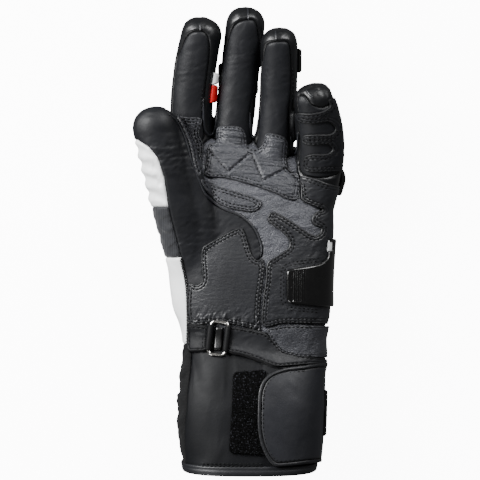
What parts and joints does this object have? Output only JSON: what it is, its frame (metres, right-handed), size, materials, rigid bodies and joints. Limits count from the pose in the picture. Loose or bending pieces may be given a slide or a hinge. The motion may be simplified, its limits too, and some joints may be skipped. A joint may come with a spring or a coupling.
{
  "type": "motorcycle gauntlet",
  "caption": "Leather motorcycle gauntlet for the left hand, palm up, with padded patches, a palm slider, a wrist strap in a metal loop and a wide closing cuff.",
  "frame": {"origin": "centre of the bounding box at its lowest level, where the glove lies on a table", "axes": "+Y from the cuff to the fingertips, +Z out of the palm, +X towards the little finger"},
  "size_m": [0.141, 0.3108, 0.0645],
  "materials": {
    "goatskin_black": "grained, semi-matt",
    "leather_black": "smooth, semi-matt",
    "leather_white": "smooth, semi-matt",
    "binding_black": "folded binding, semi-matt",
    "stretch_grey": "ribbed stretch cloth, matt",
    "stretch_black": "gathered stretch cloth, matt",
    "pile_black": "hook and loop pile, matt",
    "moulded_black": "moulded, satin",
    "guard_red": "moulded, satin",
    "rubber_black": "smooth, glossy",
    "steel": "polished"
  },
  "bodies": {
    "root": {"palm_leather": "goatskin_black", "back_leather": "leather_white", "thumb_leather": "leather_black", "thumb_back": "leather_white", "thumb_insert": "stretch_grey", "index_palm_panel": "leather_black", "index_wrap": "leather_black", "middle_palm_panel": "leather_black", "middle_wrap": "leather_black", "ring_palm_panel": "leather_black", "ring_wrap": "leather_black", "little_palm_panel": "leather_black", "little_wrap": "leather_black", "quilted_patch": "goatskin_black", "index_base_patch": "goatskin_black", "strip_patch": "goatskin_black", "heel_patch": "leather_black", "outer_patch": "leather_black", "little_patch": "leather_black", "palm_slider": "moulded_black", "wrist_strap": "leather_black", "side_tab": "leather_black", "strap_stub": "leather_black", "strap_loop": "steel", "strap_keeper": "rubber_black", "cuff_leather": "leather_black", "cuff_back": "leather_black", "cuff_gusset": "stretch_black", "cuff_hem": "leather_black", "loop_pile": "pile_black", "cuff_flap": "leather_black", "flap_binding": "binding_black", "knuckle_guard": "moulded_black", "wrist_guard": "moulded_black", "index_guard": "guard_red", "middle_guard": "moulded_black", "ring_guard": "moulded_black", "little_guard": "moulded_black"}
  },
  "joints": []
}
